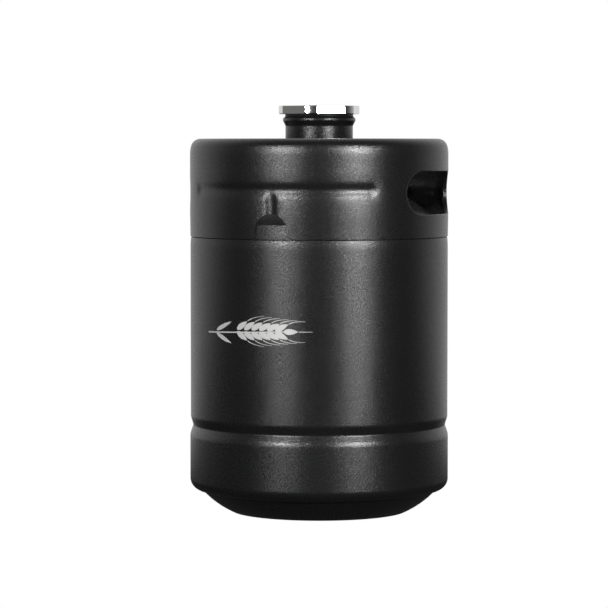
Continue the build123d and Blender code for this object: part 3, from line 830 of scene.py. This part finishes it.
def build_quarter(sheet, step=1.5 * MM):
    """A quarter of the collar, from the middle of a notch to the middle of a handhold."""
    s = sheet.s
    notch_right, notch_top = s.notch_half_width + 7 * MM, s.notch_height + 5 * MM
    hold_left = sheet.quarter - sheet.radius * math.asin(
        s.handhold_width / 2 / sheet.radius) - 6 * MM
    hold_low = s.handhold_rise - s.handhold_height / 2 - 6 * MM
    hold_high = s.handhold_rise + s.handhold_height / 2 + 6 * MM
    alongs = (spread(0, notch_right, step)[:-1] + spread(notch_right, hold_left, step)[:-1]
              + spread(hold_left, sheet.quarter, step))
    ups = (spread(0, hold_low, step)[:-1] + spread(hold_low, notch_top, step)[:-1]
           + spread(notch_top, hold_high, step)[:-1]
           + spread(hold_high, sheet.straight, step)[:-1])
    roll_start = sheet.straight + sheet.shoulder
    crown = roll_start + sheet.outer_roll
    lip_start = crown + sheet.inner_roll
    ups += spread(sheet.straight, roll_start, step)[:-1]
    ups += spread(roll_start, crown, 0.8 * MM)[:-1] + spread(crown, lip_start, 0.5 * MM)[:-1]
    ups += spread(lip_start, lip_start + s.roll_lip, 2.5 * MM)

    for left, right in zip(alongs, alongs[1:]):
        for low, high in zip(ups, ups[1:]):
            middle_along, middle_up = (left + right) / 2, (low + high) / 2
            in_notch = middle_along < notch_right and middle_up < notch_top
            in_hold = middle_along > hold_left and hold_low < middle_up < hold_high
            if not (in_notch or in_hold):
                sheet.patch([[(left, low), (right, low)], [(left, high), (right, high)]])

    hold_alongs = [a for a in alongs if a >= hold_left - 1e-9]
    hold_ups = [u for u in ups if hold_low - 1e-9 <= u <= hold_high + 1e-9]
    border = [(a, hold_low) for a in reversed(hold_alongs)]
    border += [(hold_left, u) for u in hold_ups[1:-1]]
    border += [(a, hold_high) for a in hold_alongs]
    edge = s.handhold_edge
    start = along_path(handhold_path(sheet, edge), len(border))
    sheet.patch(ring_rows(start, border, 5))
    lip = []
    for i in range(7):
        turn = QUARTER * i / 6
        path = handhold_path(sheet, edge * (1 - math.sin(turn)))
        depth = edge * (1 - math.cos(turn))
        lip.append([(a, u, depth) for a, u in along_path(path, len(border))])
    flat = [(a, u) for a, u, _ in lip[-1]]
    for depth in spread(edge, s.handhold_lip, 0.7 * MM)[1:]:
        lip.append([(a, u, depth) for a, u in flat])
    lip[0] = start
    sheet.patch(list(reversed(lip)))

    notch_alongs = [a for a in alongs if a <= notch_right + 1e-9]
    notch_ups = [u for u in ups if u <= notch_top + 1e-9]
    border = [(notch_right, u) for u in notch_ups]
    border += [(a, notch_top) for a in reversed(notch_alongs[:-1])]
    outline = along_path(notch_path(sheet), len(border))
    sheet.patch(ring_rows(border, outline, 5))


class KEG_OT_collar(bpy.types.Operator):
    """Build the collar with its rolled rim, flanged handholds, grooves and notches"""

    bl_idname = "keg.collar"
    bl_label = "Collar"

    def execute(self, context):
        sheet = CollarSheet(context.scene.keg_collar)
        build_quarter(sheet)
        bmesh.ops.remove_doubles(sheet.mesh, verts=sheet.mesh.verts, dist=CLOSE)
        mesh = bpy.data.meshes.new("collar_chime")
        sheet.mesh.to_mesh(mesh)
        sheet.mesh.free()
        piece = add_piece("collar_chime", mesh)
        apply_modifier(piece, "MIRROR", use_axis=(True, True, False),
                       merge_threshold=0.01 * MM)
        pick_all_faces(piece)
        bpy.ops.mesh.remove_doubles(threshold=0.01 * MM)
        bpy.ops.mesh.normals_make_consistent(inside=False)
        bpy.ops.object.mode_set(mode="OBJECT")
        face_outward(piece, Vector((0, 0, (COLLAR_LOW.z + COLLAR_HIGH.z) / 2)))
        thicken(piece, context.scene.keg_collar.wall, rim=0.2 * MM)
        coat_piece(piece, "collar")
        return DONE


# ---- Print -----------------------------------------------

def leaf_outline(middle, direction, long, wide, steps=10):
    """A pointed grain shape on the flat print, as a ring of points."""
    ahead = Vector(direction).normalized()
    side = Vector((-ahead.y, ahead.x))
    ring = []
    for i in range(2 * steps):
        turn = math.pi * i / steps
        reach = math.cos(turn)
        swell = math.sin(turn) * (1 - 0.35 * reach) * (1 - 0.25 * reach * reach)
        ring.append(Vector(middle) + ahead * reach * long / 2 + side * swell * wide / 2)
    return ring


def ribbon(start, control, end, wide, tip, steps=14):
    """A tapering curved stroke on the flat print, as a ring of points."""
    start, control, end = Vector(start), Vector(control), Vector(end)
    left, right = [], []
    for i in range(steps + 1):
        t = i / steps
        at = start * (1 - t) ** 2 + control * 2 * t * (1 - t) + end * t * t
        way = ((control - start) * (1 - t) + (end - control) * t).normalized()
        side = Vector((-way.y, way.x)) * (wide + (tip - wide) * t) / 2
        left.append(at + side)
        right.append(at - side)
    return left + right[::-1]


class KEG_OT_print(bpy.types.Operator):
    """Print a barley ear on the front of the wall"""

    bl_idname = "keg.print"
    bl_label = "Barley Print"

    def execute(self, context):
        s = context.scene.keg_print
        half = s.width / 2
        long, wide = s.grain_length, s.grain_width
        pitch = long * 0.60
        first = -half * 0.30
        strokes = [ribbon((-half, -2.2 * MM), (-half * 0.6, -1.6 * MM),
                          (first + pitch * s.grain_pairs, 0.0), 1.0 * MM, 0.7 * MM, 24)]
        for i in range(s.grain_pairs):
            root = first + pitch * i
            for side in (-1, 1):
                lean = math.radians(34 - 1.8 * i) * side
                way = Vector((math.cos(lean), math.sin(lean)))
                middle = Vector((root, 0)) + way * long * 0.5 + Vector((0, side * 0.75 * MM))
                strokes.append(leaf_outline(middle, way, long, wide))
                tip = middle + way * long * 0.56
                awn_end = tip + Vector((12 * MM - 0.3 * MM * i, side * (3.3 - 0.35 * i) * MM))
                bend = tip + way * 5 * MM
                strokes.append(ribbon(tip, bend, awn_end, 0.55 * MM, 0.18 * MM))
        last = Vector((first + pitch * s.grain_pairs + long * 0.5, 0))
        strokes.append(leaf_outline(last, (1, 0), long, wide))
        tip = last + Vector((long * 0.56, 0))
        strokes.append(ribbon(tip, tip + Vector((6 * MM, 0)), tip + Vector((9 * MM, 0)),
                              0.55 * MM, 0.18 * MM))
        for side in (-1, 1):
            strokes.append(leaf_outline((-half * 0.60, side * 3.9 * MM - 1.5 * MM),
                                        (1.0, side * 0.42), 15 * MM, 2.6 * MM, 14))
        band = SHELL_HIGH.x - context.scene.keg_wall.band_swell
        flat = bmesh.new()
        for stroke in strokes:
            flat.faces.new([flat.verts.new((p.x, 0, p.y)) for p in stroke])
        mesh = bpy.data.meshes.new("barley_print")
        flat.to_mesh(mesh)
        flat.free()
        piece = add_piece("barley_print", mesh)
        pick_all_faces(piece)
        for i in range(-20, 21):
            bpy.ops.mesh.select_all(action="SELECT")
            bpy.ops.mesh.bisect(plane_co=(i * 2.1 * MM, 0, 0), plane_no=(1, 0, 0))
        bpy.ops.mesh.select_all(action="SELECT")
        bpy.ops.mesh.normals_make_consistent(inside=False)
        bpy.ops.object.mode_set(mode="OBJECT")
        for vertex in mesh.vertices:
            turn = s.middle_angle + vertex.co.x / band
            vertex.co = Vector((band * math.cos(turn), band * math.sin(turn),
                                s.height + vertex.co.z))
        face_outward(piece)
        apply_modifier(piece, "SOLIDIFY", thickness=s.thickness + 0.05 * MM,
                       offset=s.thickness / (s.thickness + 0.05 * MM))
        finish_piece(piece, "keg", print_ink(), smooth=30)
        return DONE


# ---- Finishes of the pieces that stay as they are --------

class KEG_OT_inner_finishes(bpy.types.Operator):
    """Give the lid, its valve and the inner pieces their finishes"""

    bl_idname = "keg.inner_finishes"
    bl_label = "Lid and Inner Finishes"

    def execute(self, context):
        f = context.scene.keg_finish
        brass = metal("Turned Brass", f.brass, 0.24, stretch=(9000, 9000, 6000), rings=True)
        wire_steel = metal("Spring Wire", f.steel, 0.22, stretch=(4000, 4000, 4000))
        finishes = {
            "lid_body": lid_steel(),
            "outer_bottom_plate": bare_steel(), "inner_can": bare_steel(),
            "inner_dome": bare_steel(), "neck_liner": bare_steel(),
            "getter_clip": bare_steel(),
            "lid_gasket": seal_rubber(), "relief_poppet_seal": seal_rubber(),
            "relief_seat": brass, "relief_poppet": brass,
            "relief_spring": wire_steel, "relief_spring_washer": wire_steel,
            "vacuum_port_seal": metal("Copper Plug", f.copper, 0.34, tarnish=0.4),
            "vacuum_getter": metal("Getter Pellet", f.getter, 0.6, bump=0.3,
                                   stretch=(5000, 5000, 5000), tarnish=0.5),
        }
        for name, material in finishes.items():
            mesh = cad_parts[name].data
            mesh.materials.clear()
            mesh.materials.append(material)
        return DONE


class KEG_OT_valve_spring(bpy.types.Operator):
    """Build the relief valve's spring from a copy of the CAD coil, riding on the lid"""

    bl_idname = "keg.valve_spring"
    bl_label = "Valve Spring"

    def execute(self, context):
        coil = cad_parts["relief_spring"]
        material = coil.data.materials[0]
        piece = add_piece("valve_spring", coil.data.copy())
        pick_all_faces(piece)
        bpy.ops.mesh.remove_doubles(threshold=CLOSE)
        bpy.ops.object.mode_set(mode="OBJECT")
        finish_piece(piece, "lid", material, ["relief_spring"])
        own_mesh(piece)
        return DONE


# ---- Stage -----------------------------------------------

def soft_light(name, place, target, size, power):
    """A rectangular softbox that looks at a point."""
    data = bpy.data.lights.new(name, "AREA")
    data.shape = "RECTANGLE"
    data.size, data.size_y = size
    data.energy = power
    light = bpy.data.objects.new(name, data)
    light.location = place
    light.rotation_euler = (target - place).to_track_quat("-Z", "Y").to_euler()
    bpy.context.scene.collection.objects.link(light)
    return light


def seen_as_white(tree, seen, unseen):
    """What the eye sees of a shader pair: one shader for the eye, one for the light."""
    path = tree.nodes.new("ShaderNodeLightPath")
    mix = tree.nodes.new("ShaderNodeMixShader")
    tree.links.new(path.outputs["Is Camera Ray"], mix.inputs[0])
    tree.links.new(unseen.outputs[0], mix.inputs[1])
    tree.links.new(seen.outputs[0], mix.inputs[2])
    return mix


class KEG_OT_stage(bpy.types.Operator):
    """Set up the floor, the studio light and the camera"""

    bl_idname = "keg.stage"
    bl_label = "Stage"

    def execute(self, context):
        s = context.scene.keg_stage
        away = Vector((math.sin(s.azimuth), -math.cos(s.azimuth), 0))
        right = Vector((math.cos(s.azimuth), math.sin(s.azimuth), 0))

        camera = bpy.data.objects.new("camera", bpy.data.cameras.new("camera"))
        camera.data.lens = s.lens_mm
        camera.data.sensor_width = 36.0
        camera.data.clip_start = 0.1
        camera.data.clip_end = 50.0
        camera.location = away * s.distance + Vector((0, 0, s.eye_height))
        aim = Vector((0, 0, s.aim_height)) - right * s.aim_left
        camera.rotation_euler = (aim - camera.location).to_track_quat("-Z", "Y").to_euler()
        context.scene.collection.objects.link(camera)
        context.scene.camera = camera
        context.scene.view_settings.view_transform = "Standard"

        middle = Vector((0, 0, (CAD_BOX[0].z + CAD_BOX[1].z) / 2))
        for name, side in (("left_softbox", -1), ("right_softbox", 1)):
            turn = SOFTBOX_TURN * side
            way = away * math.cos(turn) + right * math.sin(turn)
            power = s.left_power if side < 0 else s.right_power
            soft_light(name + "_high", way * SOFTBOX_REACH + Vector((0, 0, 1.04)), middle,
                       (0.42, 0.28), power)
            soft_light(name + "_low", way * SOFTBOX_REACH + Vector((0, 0, 0.24)), middle,
                       (0.24, 0.44), power * s.low_share)

        bpy.ops.object.select_all(action="DESELECT")
        bpy.ops.mesh.primitive_grid_add(x_subdivisions=8, y_subdivisions=8, size=12.0,
                                        location=(0, 0, CAD_BOX[0].z))
        floor = context.active_object
        floor.name = "studio_floor"
        paper = bpy.data.materials.new("Studio Paper")
        paper.use_nodes = True
        tree = paper.node_tree
        tree.nodes.clear()
        out = tree.nodes.new("ShaderNodeOutputMaterial")
        bright = node(tree, "ShaderNodeEmission", Color=(1, 1, 1, 1), Strength=1.0)
        dim = node(tree, "ShaderNodeEmission", Color=(1, 1, 1, 1))
        spot = tree.nodes.new("ShaderNodeTexCoord")
        behind = node(tree, "ShaderNodeVectorMath", operation="DOT_PRODUCT")
        behind.inputs[1].default_value = -away
        fade = remap(tree, 0.05, 0.70, 0.035, 0.65, kind="SMOOTHSTEP")
        wire(tree, (spot, "Object", behind, 0), (behind, "Value", fade, "Value"),
             (fade, "Result", dim, "Strength"))
        mix = seen_as_white(tree, bright, dim)
        tree.links.new(mix.outputs[0], out.inputs["Surface"])
        floor.data.materials.append(paper)

        world = bpy.data.worlds.new("Studio")
        context.scene.world = world
        world.use_nodes = True
        tree = world.node_tree
        tree.nodes.clear()
        out = tree.nodes.new("ShaderNodeOutputWorld")
        ray = tree.nodes.new("ShaderNodeTexCoord")
        facing = node(tree, "ShaderNodeVectorMath", operation="DOT_PRODUCT")
        facing.inputs[1].default_value = -(away + right * 0.12).normalized()
        span = remap(tree, -0.25, 0.75, 0.05, 0.74, kind="SMOOTHSTEP")
        room = node(tree, "ShaderNodeBackground", Color=(1, 1, 1, 1))
        bright = node(tree, "ShaderNodeBackground", Color=(1, 1, 1, 1), Strength=1.0)
        wire(tree, (ray, "Generated", facing, 0), (facing, "Value", span, "Value"),
             (span, "Result", room, "Strength"))
        mix = seen_as_white(tree, bright, room)
        tree.links.new(mix.outputs[0], out.inputs["Surface"])
        return DONE


# ---- Add-on ----------------------------------------------

class KEG_PT_panel(bpy.types.Panel):
    """The builder's panel in the 3D view's sidebar"""

    bl_idname = "KEG_PT_panel"
    bl_label = "Mini Keg"
    bl_space_type = "VIEW_3D"
    bl_region_type = "UI"
    bl_category = "Mini Keg"

    def draw(self, context):
        for operator in PIECE_OPERATORS:
            self.layout.operator(operator.bl_idname)
        for name in SETTINGS:
            box = self.layout.box()
            group = getattr(context.scene, name)
            for label in group.bl_rna.properties.keys():
                if label not in ("rna_type", "name"):
                    box.prop(group, label)


SETTINGS = {
    "keg_wall": KegWallSettings,
    "keg_collar": KegCollarSettings,
    "keg_neck": KegNeckSettings,
    "keg_print": KegPrintSettings,
    "keg_finish": KegFinishSettings,
    "keg_stage": KegStageSettings,
}
PIECE_OPERATORS = (
    KEG_OT_stage,
    KEG_OT_wall,
    KEG_OT_base_cap,
    KEG_OT_dome,
    KEG_OT_neck,
    KEG_OT_collar,
    KEG_OT_print,
    KEG_OT_inner_finishes,
    KEG_OT_valve_spring,
)


def register():
    for name, group in SETTINGS.items():
        bpy.utils.register_class(group)
        setattr(bpy.types.Scene, name, PointerProperty(type=group))
    for operator in PIECE_OPERATORS:
        bpy.utils.register_class(operator)
    bpy.utils.register_class(KEG_PT_panel)


def unregister():
    bpy.utils.unregister_class(KEG_PT_panel)
    for operator in reversed(PIECE_OPERATORS):
        bpy.utils.unregister_class(operator)
    for name, group in SETTINGS.items():
        delattr(bpy.types.Scene, name)
        bpy.utils.unregister_class(group)


def main():
    """Build every piece."""
    register()
    bpy.ops.keg.stage()
    bpy.ops.keg.wall()
    bpy.ops.keg.base_cap()
    bpy.ops.keg.dome()
    bpy.ops.keg.neck()
    bpy.ops.keg.collar()
    bpy.ops.keg.print()
    bpy.ops.keg.inner_finishes()
    bpy.ops.keg.valve_spring()


if __name__ == "__main__":
    main()
